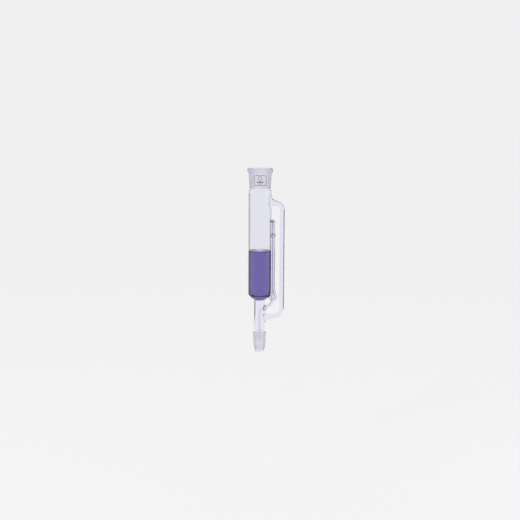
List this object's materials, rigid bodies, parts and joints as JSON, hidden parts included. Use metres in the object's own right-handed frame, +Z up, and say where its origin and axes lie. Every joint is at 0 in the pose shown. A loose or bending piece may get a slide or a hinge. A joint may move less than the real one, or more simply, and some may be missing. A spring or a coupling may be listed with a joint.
{
  "type": "soxhlet extractor body",
  "caption": "Tall glass extraction chamber with a wide ground socket on top, a side vapour tube, a slim siphon and a ground cone below, partly filled with violet extract.",
  "frame": {"origin": "on the axis of the lower ground cone, at its gauge plane (the wide end of the ground zone)", "axes": "+Z up along the axis towards the socket, +X towards the vapour side tube, -Y is the front, with the enamel patch and the siphon's riser"},
  "size_m": [0.0843, 0.057, 0.4199],
  "materials": {
    "clear_glass": "clear, fire polished",
    "ground_glass": "ground, frosted",
    "violet_extract": "clear violet liquid",
    "grey_green_enamel": "matt fired enamel"
  },
  "bodies": {
    "root": {"ground_socket": "ground_glass", "extraction_chamber": "clear_glass", "outlet_stub": "clear_glass", "siphon_riser": "clear_glass", "siphon_top_bend": "clear_glass", "siphon_down_leg": "clear_glass", "drip_tube": "clear_glass", "drip_ring_seal": "clear_glass", "siphon_bridge": "clear_glass", "siphon_stay": "clear_glass", "upper_side_arm": "clear_glass", "vapour_tube": "clear_glass", "lower_side_arm": "clear_glass", "stem_tube": "clear_glass", "ground_cone": "ground_glass", "chamber_extract": "violet_extract", "siphon_extract": "violet_extract", "enamel_patch": "grey_green_enamel"}
  },
  "joints": []
}
